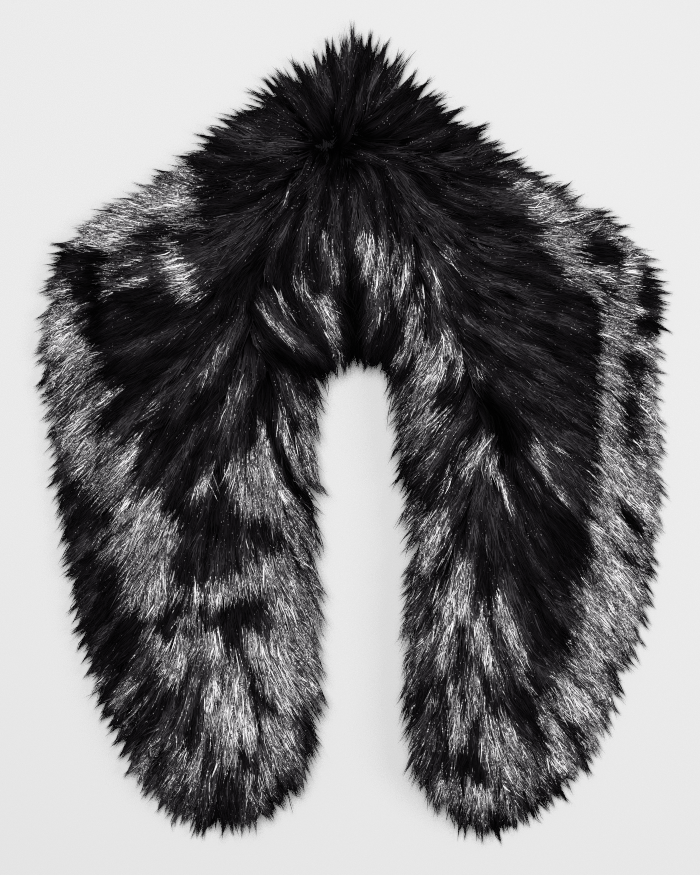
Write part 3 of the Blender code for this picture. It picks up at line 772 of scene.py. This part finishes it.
def rim_share(roots, ends, reach, layer):
    """Share of each strand's length that keeps its tip within reach of the layer's outline."""
    share = np.ones(len(roots))
    full = np.linalg.norm(ends, axis=-1)
    for _ in range(RIM_PASSES):
        past = -reach - layer.depth_at(roots + ends * share[:, None])
        share = np.maximum(share - np.maximum(past, 0) / full, RIM_LEAST_SHARE)
    return share


def gathered_rim(roots, ends, layer, source):
    """How much of each strand is kept at the rim, and its shift towards the nearest spike."""
    tips = roots + ends * rim_share(roots, ends, np.zeros(len(roots)), layer)[:, None]
    reach, across = layer.nearest_spike(tips)
    beside = np.linalg.norm(across, axis=-1)
    across *= np.minimum(1, SPIKE_HALF_WIDTH / np.maximum(beside, TINY))[:, None]
    reach = reach - SPIKE_SLOPE * np.minimum(beside, SPIKE_HALF_WIDTH)
    reach = reach - source.exponential(SPIKE_SHORTFALL, len(roots))
    near_rim = layer.near_rim(tips, RIM_GATHER_WIDTH)
    return rim_share(roots, ends, reach, layer), SPIKE_PULL * near_rim[:, None] * across


def strand_heights(plan, root_height, level, layer, source, settings):
    """Height of each knot: from the cloth up to the layer's top, and hanging down at a rim."""
    root = root_height(plan[:, 0])[:, None]
    rise = of_knots("rise")
    height = root + (layer.top_at(plan) - root) * rise * level[:, None]
    droop = source.uniform(0, 1, len(root))[:, None] * layer.near_rim(plan, RIM_DROOP_WIDTH)
    height = height - droop * (height - settings.lowest_tip) * settings.droop * rise
    return np.maximum(height, LEAST_CLEARANCE + CLEARANCE_SPREAD * source.uniform(0, 1, height.shape))


def strands(centres, fur, layer, root_height, source, settings):
    """Knot points and tones of all strands of the locks."""
    locks = len(centres)
    wisps = (locks, WISPS)
    shape = (locks, WISPS, fur.strands // WISPS)
    longer = 1 + PEAK_LENGTHENING * peak_share(centres)
    lock_length = fur.pile * source.uniform(*LOCK_LENGTH, locks) * longer
    paths = guide_paths(centres, lock_length * PLAN_SHARE, source.normal(0, LOCK_TURN, locks))
    lock_level = source.uniform(LEAST_LEVEL, 1.0, locks)

    wisp_offset = disc(source, wisps, fur.lock_step * WISP_RADIUS)
    wisp_turn = source.normal(0, WISP_TURN, wisps)
    wisp_length = source.uniform(*WISP_LENGTH, wisps)
    flow = PLAN.read(FLOW_FIELD, centres[:, None] + wisp_offset + paths[:, None, TONE_KNOT])
    wisp_share = FLOW_WEIGHT * flow + (1 - FLOW_WEIGHT) * source.uniform(0, 1, wisps)
    wisp_level = LEAST_LEVEL + LEVEL_RANGE * wisp_share

    radius = fur.lock_step * STRAND_RADIUS
    offset = disc(source, shape, radius)
    stray = source.uniform(0, 1, shape) < STRAY_SHARE
    turn = wisp_turn[..., None] + source.normal(0, STRAND_TURN, shape)
    turn = turn + stray * source.normal(0, STRAY_TURN, shape)
    length = wisp_length[..., None] * source.uniform(*STRAND_LENGTH, shape)
    spread = np.linalg.norm(offset, axis=-1) / radius
    level = lock_level[:, None, None] * wisp_level[..., None] * (1.0 - OUTER_DROP * spread * spread)
    level = (level * source.uniform(*STRAND_LEVEL, shape)).reshape(-1)

    near_rim = layer.near_rim(centres + paths[:, -1], RIM_GATHER_WIDTH)
    most = settings.lock_gather + (settings.rim_gather - settings.lock_gather) * near_rim
    lock_gather = most[:, None, None] * of_knots("lock_gather")
    wisp_gather = settings.wisp_gather * of_knots("wisp_gather")
    plan = centres[:, None, None, None, :]
    plan = plan + wisp_offset[:, :, None, None, :] * (1 - lock_gather)[:, :, None, :, None]
    plan = plan + offset[..., None, :] * (1 - wisp_gather)[:, None]
    roots = plan.reshape(-1, len(KNOTS), 2)
    paths = turned(paths[:, None, None], turn[..., None]) * length[..., None, None]
    paths = paths.reshape(-1, len(KNOTS), 2)
    share, shift = gathered_rim(roots[:, -1], paths[:, -1], layer, source)
    paths = paths * share[:, None, None] + shift[:, None] * of_knots("spike_gather")[:, None]
    wave = source.normal(0, WISP_WAVE, wisps + (1, len(KNOTS), 2))
    wave = wave + source.normal(0, STRAND_WAVE, shape + (len(KNOTS), 2))
    wave *= of_knots("wave")[:, None]
    plan = roots + paths + wave.reshape(-1, len(KNOTS), 2)

    height = strand_heights(plan, root_height, level, layer, source, settings)
    points = np.concatenate([plan, height[..., None]], axis=-1)
    # Painted shade on low locks and wisps and on the outer strands of a wisp, painted light on the
    # highest
    raised = LOCK_WEIGHT * (lock_level[:, None] - LEAST_LEVEL) / LEVEL_RANGE
    raised = raised + (1 - LOCK_WEIGHT) * (wisp_level - LEAST_LEVEL) / LEVEL_RANGE
    painted_shade = (LOWEST_SHADE + HEIGHT_SHADE * raised[..., None]) * (1 - OUTER_SHADE * spread ** 2)
    return points, strand_tones(plan[:, TONE_KNOT], painted_shade, source)


def by_chance(parts, lock, wisp, own):
    """A tone for each strand from a Chance and the chances of its lock, its wisp and itself."""
    return (parts.base + parts.lock * lock + parts.wisp * wisp + parts.own * own).reshape(-1)


def strand_tones(places, painted_shade, source):
    """Tone of each strand: dark, or silver where the frosting is strong enough for it, with painted
    light on the pile's ridges and painted shade in its grooves, in hollows and on deep and outer hair.
    """
    shape = painted_shade.shape
    frost = PLAN.read(FROST_FIELD, places)
    lock = source.uniform(0, 1, shape[:1] + (1, 1))
    wisp = source.uniform(0, 1, shape[:2] + (1,))
    own = source.uniform(0, 1, shape)
    flow = PLAN.read(FLOW_FIELD, places)
    # Painted shade: fewer hairs are silver in the pile's grooves
    limit = by_chance(SILVER_LIMIT, lock, wisp, own) + GROOVE_SHADE_LIMIT * (1 - flow)
    strength = np.minimum(frost, MOST_FROST) ** FROST_CURVE * FROST_GAIN
    silver = np.clip((strength - limit) / SILVER_STEP, 0, 1)
    bright = by_chance(BRIGHT_TONE, lock, wisp, source.uniform(0, 1, shape))
    dark = by_chance(DARK_TONE, lock, wisp, source.uniform(0, 1, shape))
    # Painted light: dark hair is lighter on the pile's ridges than in its grooves
    dark += RIDGE_PAINTED_LIGHT * np.clip((flow - RIDGE_START) / RIDGE_RISE, 0, 1)
    dark *= 1 + FROSTED_DARK * np.minimum(frost, FROSTED_DARK_MOST)
    pale = source.uniform(0, 1, len(dark)) < PALE_HAIRS + PALE_HAIRS_FROSTED * frost
    dark += pale * PALE_HAIR_TONE
    # Painted shade in hollows, grooves and creases
    dark *= PLAN.read(HOLLOW_SHADE_FIELD, places)
    return (dark + (bright - dark) * silver) * painted_shade.reshape(-1)


def ribbon_mesh(name, points, tones, widths, source):
    """Joined mesh of flat tapering strands: OFBake's U is a strand's tone, its V runs along it."""
    count = len(points)
    ahead = np.empty_like(points)
    ahead[:, 1:-1] = points[:, 2:] - points[:, :-2]
    ahead[:, 0] = points[:, 1] - points[:, 0]
    ahead[:, -1] = points[:, -1] - points[:, -2]
    ahead /= np.maximum(np.linalg.norm(ahead, axis=-1, keepdims=True), TINY)
    side = np.stack([-ahead[..., 1], ahead[..., 0], np.zeros(ahead.shape[:2])], -1)
    side /= np.maximum(np.linalg.norm(side, axis=-1, keepdims=True), TINY)
    over = np.cross(ahead, side)
    roll = source.normal(0, ROLL, count)
    free = source.uniform(0, 1, count) < FREE_SHARE
    roll = np.where(free, source.uniform(-FREE_ROLL, FREE_ROLL, count), roll)[:, None, None]
    side = side * np.cos(roll) + over * np.sin(roll)
    half = 0.5 * widths[:, None, None] * of_knots("width")[:, None] * side
    rows = len(KNOTS) - 1
    corners = np.empty((count, 2 * rows + 1, 3))
    corners[:, 0:2 * rows:2] = points[:, :rows] + half[:, :rows]
    corners[:, 1:2 * rows:2] = points[:, :rows] - half[:, :rows]
    corners[:, -1] = points[:, -1]

    loops, sizes = [], []
    for row in range(rows - 1):
        a = 2 * row
        loops += [a, a + 1, a + 3, a + 2]
        sizes.append(4)
    loops += [2 * rows - 2, 2 * rows - 1, 2 * rows]
    sizes.append(3)
    loops = np.array(loops)
    sizes = np.array(sizes)
    verts_each = corners.shape[1]
    all_loops = (np.arange(count)[:, None] * verts_each + loops).ravel()
    starts_each = np.concatenate([[0], np.cumsum(sizes)[:-1]])
    starts = (np.arange(count)[:, None] * sizes.sum() + starts_each).ravel()

    mesh = bpy.data.meshes.new(name)
    mesh.vertices.add(count * verts_each)
    mesh.vertices.foreach_set("co", corners.astype(np.float32).ravel())
    mesh.loops.add(len(all_loops))
    mesh.loops.foreach_set("vertex_index", all_loops.astype(np.int32))
    mesh.polygons.add(len(starts))
    mesh.polygons.foreach_set("loop_start", starts.astype(np.int32))
    mesh.update(calc_edges=True)

    tone = np.empty((count, verts_each, 2))
    along = of_knots("along")
    shift = source.uniform(-SHADE_SHIFT, SHADE_SHIFT, count)[:, None]
    level = (np.floor(tones * TONE_STEPS) + 0.5)[:, None] / TONE_STEPS
    tone[:, 0:2 * rows:2, 0] = level - TONE_WIDTH
    tone[:, 1:2 * rows:2, 0] = level + TONE_WIDTH
    tone[:, -1, 0] = level[:, 0]
    tone[:, 0:2 * rows:2, 1] = along[:rows] + shift
    tone[:, 1:2 * rows:2, 1] = along[:rows] + shift
    tone[:, -1, 1] = along[-1] + shift[:, 0]
    tone = np.clip(tone, TONE_MARGIN, 1 - TONE_MARGIN)
    layer = mesh.uv_layers.new(name="OFBake")
    layer.data.foreach_set("uv", tone[:, loops].astype(np.float32).ravel())
    mesh.polygons.foreach_set("use_smooth", np.ones(len(starts), bool))
    mesh.validate()
    piece = bpy.data.objects.new(name, mesh)
    bpy.context.scene.collection.objects.link(piece)
    return piece


def link(tree, source, target):
    tree.links.new(source, target)


def stepped(tree, value, step):
    """Clamped smooth step of a value."""
    node = tree.nodes.new("ShaderNodeMapRange")
    node.interpolation_type = "SMOOTHSTEP"
    node.inputs["From Min"].default_value = step.low
    node.inputs["From Max"].default_value = step.high
    node.inputs["To Min"].default_value = step.before
    node.inputs["To Max"].default_value = step.after
    link(tree, value, node.inputs["Value"])
    return node.outputs["Result"]


def combined(tree, operation, first, second):
    """Maths of two values, each a socket or a number."""
    node = tree.nodes.new("ShaderNodeMath")
    node.operation = operation
    for slot, value in zip(node.inputs, (first, second)):
        if isinstance(value, float):
            slot.default_value = value
        else:
            link(tree, value, slot)
    return node.outputs["Value"]


def strand_noise(tree, tone, along, count):
    """Noise that changes count times along a strand and differs between tones."""
    stretch = tree.nodes.new("ShaderNodeCombineXYZ")
    link(tree, combined(tree, "MULTIPLY", tone, TONE_STEPS), stretch.inputs["X"])
    link(tree, combined(tree, "MULTIPLY", along, count), stretch.inputs["Y"])
    noise = tree.nodes.new("ShaderNodeTexNoise")
    noise.noise_dimensions = "2D"
    noise.inputs["Scale"].default_value = 1.0
    noise.inputs["Detail"].default_value = 0.0
    link(tree, stretch.outputs["Vector"], noise.inputs["Vector"])
    return noise.outputs["Fac"]


def fur_material(settings):
    """Fur: the tone map's U goes from charcoal to silver, its V from the root, darker with its own
    colour and painted shade, to the tip, with painted light, shade and glints along it.
    """
    if "combed_fur" in bpy.data.materials:
        return bpy.data.materials["combed_fur"]
    material = bpy.data.materials.new("combed_fur")
    material.use_nodes = True
    tree = material.node_tree
    shader = tree.nodes["Principled BSDF"]
    shader.inputs["Roughness"].default_value = 0.40
    shader.inputs["Specular IOR Level"].default_value = settings.gloss
    uv = tree.nodes.new("ShaderNodeUVMap")
    uv.uv_map = "OFBake"
    split = tree.nodes.new("ShaderNodeSeparateXYZ")
    link(tree, uv.outputs["UV"], split.inputs["Vector"])
    tone, along = split.outputs["X"], split.outputs["Y"]
    # Painted light along the strand: dips of painted shade between lit stretches
    shade_dip = stepped(tree, strand_noise(tree, tone, along, SHADE_DIP_COUNT), SHADE_DIP_STEP)
    shade_dip = combined(tree, "MULTIPLY", shade_dip, stepped(tree, tone, SHADE_DIP_DEPTH))
    # Darker towards the root: the hair's own colour and painted shade deep in the pile
    root = stepped(tree, along, ROOT_SHADE)
    tip = stepped(tree, along, TIP_SHADE)
    value = combined(tree, "MULTIPLY", tone, combined(tree, "SUBTRACT", 1.0, shade_dip))
    value = combined(tree, "MULTIPLY", value, root)
    value = combined(tree, "MULTIPLY", value, tip)
    # Painted glints: small bright spots along the strands, weaker towards the root
    spots = strand_noise(tree, tone, along, SPOT_COUNT)
    glint = stepped(tree, spots, GLINT_STEP)
    glint = combined(tree, "MULTIPLY", glint, stepped(tree, tone, GLINT_TONES))
    rare = stepped(tree, spots, RARE_STEP)
    rare = combined(tree, "MULTIPLY", rare, stepped(tree, tone, RARE_TONES_FROM))
    rare = combined(tree, "MULTIPLY", rare, stepped(tree, tone, RARE_TONES_TO))
    glint = combined(tree, "MULTIPLY", combined(tree, "MAXIMUM", glint, rare), root)
    value = combined(tree, "ADD", value, glint)
    ramp = tree.nodes.new("ShaderNodeValToRGB")
    elements = ramp.color_ramp.elements
    elements[0].color = (*settings.undercoat_and_shade, 1)
    elements[1].color = (*settings.silver, 1)
    for quarter, colour in enumerate((settings.charcoal, settings.slate, settings.pewter), 1):
        elements.new(quarter / 4).color = (*colour, 1)
    link(tree, value, ramp.inputs["Fac"])
    link(tree, ramp.outputs["Color"], shader.inputs["Base Color"])
    return material


def knit_material():
    """Plain dark knit backing."""
    if "knit_backing" in bpy.data.materials:
        return bpy.data.materials["knit_backing"]
    material = bpy.data.materials.new("knit_backing")
    material.use_nodes = True
    tree = material.node_tree
    shader = tree.nodes["Principled BSDF"]
    shader.inputs["Roughness"].default_value = 0.9
    shader.inputs["Specular IOR Level"].default_value = 0.03
    place = tree.nodes.new("ShaderNodeTexCoord")
    ribs = tree.nodes.new("ShaderNodeTexWave")
    ribs.inputs["Scale"].default_value = 260.0
    ribs.inputs["Distortion"].default_value = 1.5
    ribs.inputs["Detail"].default_value = 1.0
    link(tree, place.outputs["Object"], ribs.inputs["Vector"])
    # Painted shade: the knit is darker in its grooves, where its bump is low
    ramp = tree.nodes.new("ShaderNodeValToRGB")
    ramp.color_ramp.elements[0].color = (*KNIT_GROOVE_SHADE, 1)
    ramp.color_ramp.elements[1].color = (*KNIT_RIB, 1)
    link(tree, ribs.outputs["Fac"], ramp.inputs["Fac"])
    link(tree, ramp.outputs["Color"], shader.inputs["Base Color"])
    bump = tree.nodes.new("ShaderNodeBump")
    bump.inputs["Strength"].default_value = 0.5
    bump.inputs["Distance"].default_value = 0.0006
    link(tree, ribs.outputs["Fac"], bump.inputs["Height"])
    link(tree, bump.outputs["Normal"], shader.inputs["Normal"])
    return material


def fall_cloth_height(points):
    """Top of the fall's ground cloth: a low crown, turned down at its rim."""
    from_edge = FALL.depth_at(points) - EDGE_INSET
    crown = np.maximum(FALL.top_at(points) - FALL_PILE_DEPTH - FALL_CLOTH_TOP, 0)
    share = np.clip(from_edge / FALL_CROWN_WIDTH, 0, 1)
    turn_down = FALL_CLOTH_TURN * np.clip(1 - from_edge / FALL_TURN_WIDTH, 0, 1) ** 2
    return FALL_CLOTH_TOP - turn_down + crown * np.sin(share * math.pi / 2)


def under_cloth_height(points):
    """Top of the under layer's ground cloth, flat on the surface."""
    return np.full(points.shape[:-1], UNDER_CLOTH_TOP)


def drawn_to_edge(place, layer):
    """A plan point moved towards the line where the layer's cloth is cut."""
    across = (EDGE_SLOPE_STEP, 0)
    along = (0, EDGE_SLOPE_STEP)
    for _ in range(EDGE_PASSES):
        slope = np.array([
            layer.depth_at(place + across) - layer.depth_at(place - across),
            layer.depth_at(place + along) - layer.depth_at(place - along),
        ])
        slope /= max(np.linalg.norm(slope), TINY)
        place = place + slope * (EDGE_INSET - layer.depth_at(place)) * EDGE_PULL
    return place


def cloth_piece(name, side, layer, height_at):
    """Ground cloth of one half: a grid cut to the layer's outline, bent to height and given a wall."""
    low, high = CAD_BOX
    seam = SEAM_X + side * SEAM_GAP / 2
    outer = high.x if side > 0 else low.x
    width = abs(outer - seam)
    length = high.y - low.y
    bpy.ops.object.select_all(action="DESELECT")
    bpy.ops.mesh.primitive_grid_add(
        x_subdivisions=round(width / CLOTH_STEP),
        y_subdivisions=round(length / CLOTH_STEP),
        size=1,
        location=((seam + outer) / 2, (low.y + high.y) / 2, 0),
    )
    piece = bpy.context.object
    piece.name = name
    bpy.ops.transform.resize(value=(width, length, 1))
    bpy.ops.object.transform_apply(location=True, rotation=True, scale=True)
    cut = bmesh.new()
    cut.from_mesh(piece.data)
    outside = []
    for face in cut.faces:
        middle = face.calc_center_median()
        if layer.depth_at(np.array([middle.x, middle.y])) < EDGE_INSET:
            outside.append(face)
    bmesh.ops.delete(cut, geom=outside, context="FACES")
    for vertex in cut.verts:
        on_seam = abs(vertex.co.x - seam) < SEAM_TOLERANCE
        if vertex.is_boundary and not on_seam:
            vertex.co.x, vertex.co.y = drawn_to_edge(np.array([vertex.co.x, vertex.co.y]), layer)
    for vertex in cut.verts:
        vertex.co.z = height_at(np.array([vertex.co.x, vertex.co.y]))
    area = sum(face.calc_area() for face in cut.faces)
    cut.to_mesh(piece.data)
    cut.free()
    wall = piece.modifiers.new("wall", "SOLIDIFY")
    wall.thickness = CLOTH_THICKNESS
    wall.offset = -1
    bpy.ops.object.modifier_apply(modifier="wall")
    bpy.ops.object.shade_smooth()
    piece.data.materials.clear()
    piece.data.materials.append(knit_material())
    spans = [vertex.co for vertex in piece.data.vertices]
    flat = (
        max(spot.x for spot in spans) - min(spot.x for spot in spans),
        max(spot.y for spot in spans) - min(spot.y for spot in spans),
    )
    return piece, flat, area


def rooted(layer, run, allowed):
    """Test of whether a run of fur has a lock rooted at a plan point."""
    def wanted(points):
        on_side = (points[:, 0] - SEAM_X) * run.side > 0
        in_rows = (points[:, 1] >= run.low_y) & (points[:, 1] < run.high_y)
        on_cloth = layer.depth_at(points) > EDGE_INSET - ROOTS_PAST_EDGE
        return on_side & in_rows & on_cloth & allowed(points)
    return wanted


def everywhere(points):
    return np.ones(len(points), bool)


def outside_fall(points):
    """Where the under layer's fur may show: outside the fall and a little under its edge."""
    return FALL.depth_at(points) < ROOTS_UNDER_FALL


def fur_piece(run, fur, layer, root_height, allowed, settings):
    """One joined piece of fur."""
    source = np.random.default_rng(run.seed)
    centres = lock_centres(fur.lock_step, rooted(layer, run, allowed), source)
    points, tones = strands(centres, fur, layer, root_height, source, settings)
    at_rim = layer.near_rim(points[:, -1, :2], RIM_THIN_WIDTH)
    widths = settings.strand_width * source.uniform(*WIDTH_RANGE, len(points))
    widths = widths * (1 - settings.rim_thinning * at_rim)
    piece = ribbon_mesh(run.name, points, tones, widths, source)
    piece.data.materials.append(fur_material(settings))
    return piece


class WrapSettings(bpy.types.PropertyGroup):
    strand_width: FloatProperty(
        name="Strand width", description="Width of a strand at its middle",
        default=0.85 * MM, min=0.0001, unit="LENGTH",
    )
    rim_thinning: FloatProperty(
        name="Rim thinning", description="How much thinner the strands that end at a rim are",
        default=0.35, min=0, max=1,
    )
    lock_gather: FloatProperty(
        name="Lock gather", description="How far the wisps of a lock meet at its point",
        default=0.38, min=0, max=1,
    )
    rim_gather: FloatProperty(
        name="Rim gather", description="How far the wisps of a lock meet at its point along the rim",
        default=0.55, min=0, max=1,
    )
    wisp_gather: FloatProperty(
        name="Wisp gather", description="How far the strands of a wisp meet at its point",
        default=0.92, min=0, max=1,
    )
    lowest_tip: FloatProperty(
        name="Lowest tip", description="Height that drooping tips reach",
        default=2 * MM, unit="LENGTH",
    )
    droop: FloatProperty(
        name="Droop", description="How far down the hair of a rim may hang", default=0.62, min=0, max=1,
    )
    gloss: FloatProperty(
        name="Gloss", description="Strength of the light that hair mirrors", default=0.01, min=0, max=1,
    )
    # Darkest colour: the undercoat's own, and the painted shade that roots, hollows and deep hair reach
    undercoat_and_shade: FloatVectorProperty(
        name="Undercoat", description="Colour deep in the pile", subtype="COLOR",
        default=(0.0003, 0.0003, 0.0003),
    )
    charcoal: FloatVectorProperty(
        name="Charcoal", description="Colour of dark hair", subtype="COLOR",
        default=(0.0125, 0.0108, 0.0130),
    )
    slate: FloatVectorProperty(
        name="Slate", description="Colour of grey hair", subtype="COLOR", default=(0.095, 0.089, 0.098),
    )
    pewter: FloatVectorProperty(
        name="Pewter", description="Colour of pale hair", subtype="COLOR", default=(0.42, 0.41, 0.42),
    )
    silver: FloatVectorProperty(
        name="Silver", description="Colour of frosted hair", subtype="COLOR", default=(0.95, 0.94, 0.95),
    )


class StageSettings(bpy.types.PropertyGroup):
    light_power: FloatProperty(name="Light", description="Power of the overhead light", default=54.2)
    fill: FloatProperty(name="Fill", description="Strength of the light all round", default=0.08)


class WRAP_OT_under_cloths(bpy.types.Operator):
    """Add the two ground cloths of the under layer"""
    bl_idname = "wrap.under_cloths"
    bl_label = "Under cloths"

    def execute(self, context):
        for name, side in (("under_cloth_left", -1), ("under_cloth_right", 1)):
            piece, flat, area = cloth_piece(name, side, UNDER, under_cloth_height)
            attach(piece, "root")
            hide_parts(name.replace("cloth_", ""))
            piece["flat"] = flat
            piece["area"] = area
        return {"FINISHED"}


class WRAP_OT_fall_cloths(bpy.types.Operator):
    """Add the two ground cloths of the fall"""
    bl_idname = "wrap.fall_cloths"
    bl_label = "Fall cloths"

    def execute(self, context):
        for name, side in (("fall_cloth_left", -1), ("fall_cloth_right", 1)):
            piece, flat, area = cloth_piece(name, side, FALL, fall_cloth_height)
            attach(piece, "root")
            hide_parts(name.replace("fall_cloth", "upper"))
            piece["flat"] = flat
            piece["area"] = area
        return {"FINISHED"}


class WRAP_OT_band_fur(bpy.types.Operator):
    """Grow the fur of the under layer"""
    bl_idname = "wrap.band_fur"
    bl_label = "Band fur"

    def execute(self, context):
        settings = context.scene.wrap_settings
        for run in BAND_RUNS:
            piece = fur_piece(run, BAND_FUR, UNDER, under_cloth_height, outside_fall, settings)
            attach(piece, "root")
        return {"FINISHED"}


class WRAP_OT_fall_fur(bpy.types.Operator):
    """Grow the fur of the fall"""
    bl_idname = "wrap.fall_fur"
    bl_label = "Fall fur"

    def execute(self, context):
        settings = context.scene.wrap_settings
        for run in FALL_RUNS:
            piece = fur_piece(run, FALL_FUR, FALL, fall_cloth_height, everywhere, settings)
            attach(piece, "root")
        return {"FINISHED"}


class WRAP_OT_sew(bpy.types.Operator):
    bl_idname = "wrap.sew"
    bl_label = "Sew fur to cloths"

    def execute(self, context):
        return {"FINISHED"}


class WRAP_OT_stage(bpy.types.Operator):
    """Add the floor, the soft light and the camera"""
    bl_idname = "wrap.stage"
    bl_label = "Stage"

    def execute(self, context):
        settings = context.scene.wrap_stage
        scene = context.scene
        bpy.ops.object.select_all(action="DESELECT")
        bpy.ops.mesh.primitive_plane_add(size=FLOOR_SIDE, location=(0, 0, 0))
        floor = context.object
        floor.name = "floor"
        paper = bpy.data.materials.new("pale_floor")
        paper.use_nodes = True
        shader = paper.node_tree.nodes["Principled BSDF"]
        shader.inputs["Base Color"].default_value = (0.80, 0.80, 0.80, 1)
        shader.inputs["Roughness"].default_value = 0.95
        shader.inputs["Specular IOR Level"].default_value = 0.1
        floor.data.materials.append(paper)

        world = bpy.data.worlds.new("studio")
        world.use_nodes = True
        background = world.node_tree.nodes["Background"]
        background.inputs["Color"].default_value = (1, 1, 1, 1)
        background.inputs["Strength"].default_value = settings.fill
        scene.world = world
        for lamp in LAMPS:
            light = bpy.data.lights.new(lamp.name, "AREA")
            light.size = lamp.side
            light.energy = settings.light_power * lamp.share
            light_object = bpy.data.objects.new(lamp.name, light)
            light_object.location = lamp.place
            light_object.rotation_mode = "QUATERNION"
            light_object.rotation_quaternion = (-Vector(lamp.place)).to_track_quat("-Z", "Y")
            scene.collection.objects.link(light_object)

        camera_data = bpy.data.cameras.new("camera")
        camera = bpy.data.objects.new("camera", camera_data)
        scene.collection.objects.link(camera)
        middle = at_photo(PHOTO_WIDTH / 2, PHOTO_HEIGHT / 2)
        camera.location = (middle[0], middle[1], CAMERA_DISTANCE + SUBJECT_HEIGHT)
        camera_data.lens = camera_data.sensor_width * CAMERA_DISTANCE / (PHOTO_HEIGHT * PHOTO_SCALE)
        scene.camera = camera
        scene.view_settings.view_transform = "Standard"
        scene.cycles.filter_width = 1.0
        scene.cycles.use_denoising = False
        return {"FINISHED"}


class WRAP_PT_panel(bpy.types.Panel):
    bl_label = "Fur wrap"
    bl_space_type = "VIEW_3D"
    bl_region_type = "UI"
    bl_category = "Fur Wrap"

    def draw(self, context):
        for operator in OPERATORS:
            self.layout.operator(operator.bl_idname)
        for settings in (context.scene.wrap_settings, context.scene.wrap_stage):
            for name in settings.__annotations__:
                self.layout.prop(settings, name)


OPERATORS = (
    WRAP_OT_under_cloths,
    WRAP_OT_fall_cloths,
    WRAP_OT_band_fur,
    WRAP_OT_fall_fur,
    WRAP_OT_sew,
    WRAP_OT_stage,
)
CLASSES = (WrapSettings, StageSettings, *OPERATORS, WRAP_PT_panel)


def register():
    for item in CLASSES:
        bpy.utils.register_class(item)
    bpy.types.Scene.wrap_settings = PointerProperty(type=WrapSettings)
    bpy.types.Scene.wrap_stage = PointerProperty(type=StageSettings)


def unregister():
    del bpy.types.Scene.wrap_settings
    del bpy.types.Scene.wrap_stage
    for item in reversed(CLASSES):
        bpy.utils.unregister_class(item)


def main():
    register()
    bpy.ops.wrap.under_cloths()
    bpy.ops.wrap.fall_cloths()
    bpy.ops.wrap.band_fur()
    bpy.ops.wrap.fall_fur()
    bpy.ops.wrap.sew()
    bpy.ops.wrap.stage()


if __name__ == "__main__":
    main()
